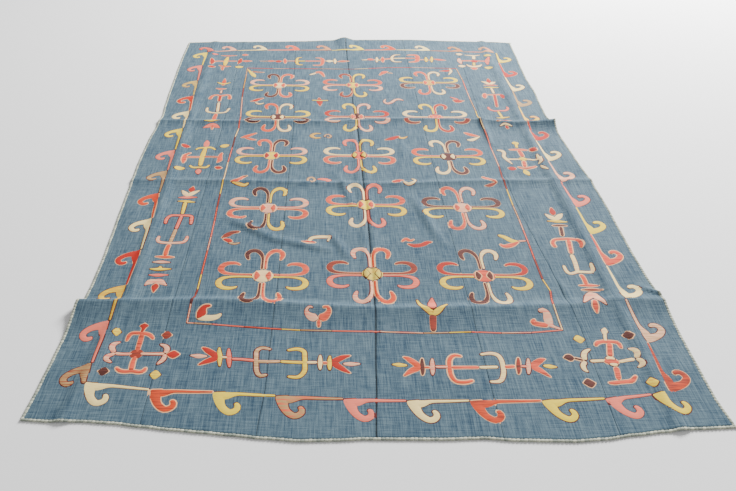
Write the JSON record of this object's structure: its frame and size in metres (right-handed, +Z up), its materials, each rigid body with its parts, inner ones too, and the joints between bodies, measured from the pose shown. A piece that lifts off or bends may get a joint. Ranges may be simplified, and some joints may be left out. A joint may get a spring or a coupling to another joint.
{
  "type": "embroidered flat-woven rug",
  "caption": "Rectangular flat-woven rug of long strips sewn side by side, lying flat with soft storage folds across it and an overcast edge all round.",
  "frame": {"origin": "centre of the rug's bounding box, at floor level", "axes": "+X to the right as seen from the front end, +Y along the rug's length to the back end, +Z up"},
  "size_m": [1.808, 2.7473, 0.0321],
  "materials": {
    "strip_cloth": "matt slubby plain weave, blue-grey",
    "overcast_yarn": "matt thick yarn, pale grey-green"
  },
  "bodies": {
    "root": {"strip_1": "strip_cloth", "strip_2": "strip_cloth", "strip_3": "strip_cloth", "strip_4": "strip_cloth", "strip_5": "strip_cloth", "strip_6": "strip_cloth", "overcast_front": "overcast_yarn", "overcast_back": "overcast_yarn", "overcast_left": "overcast_yarn", "overcast_right": "overcast_yarn"}
  },
  "joints": []
}
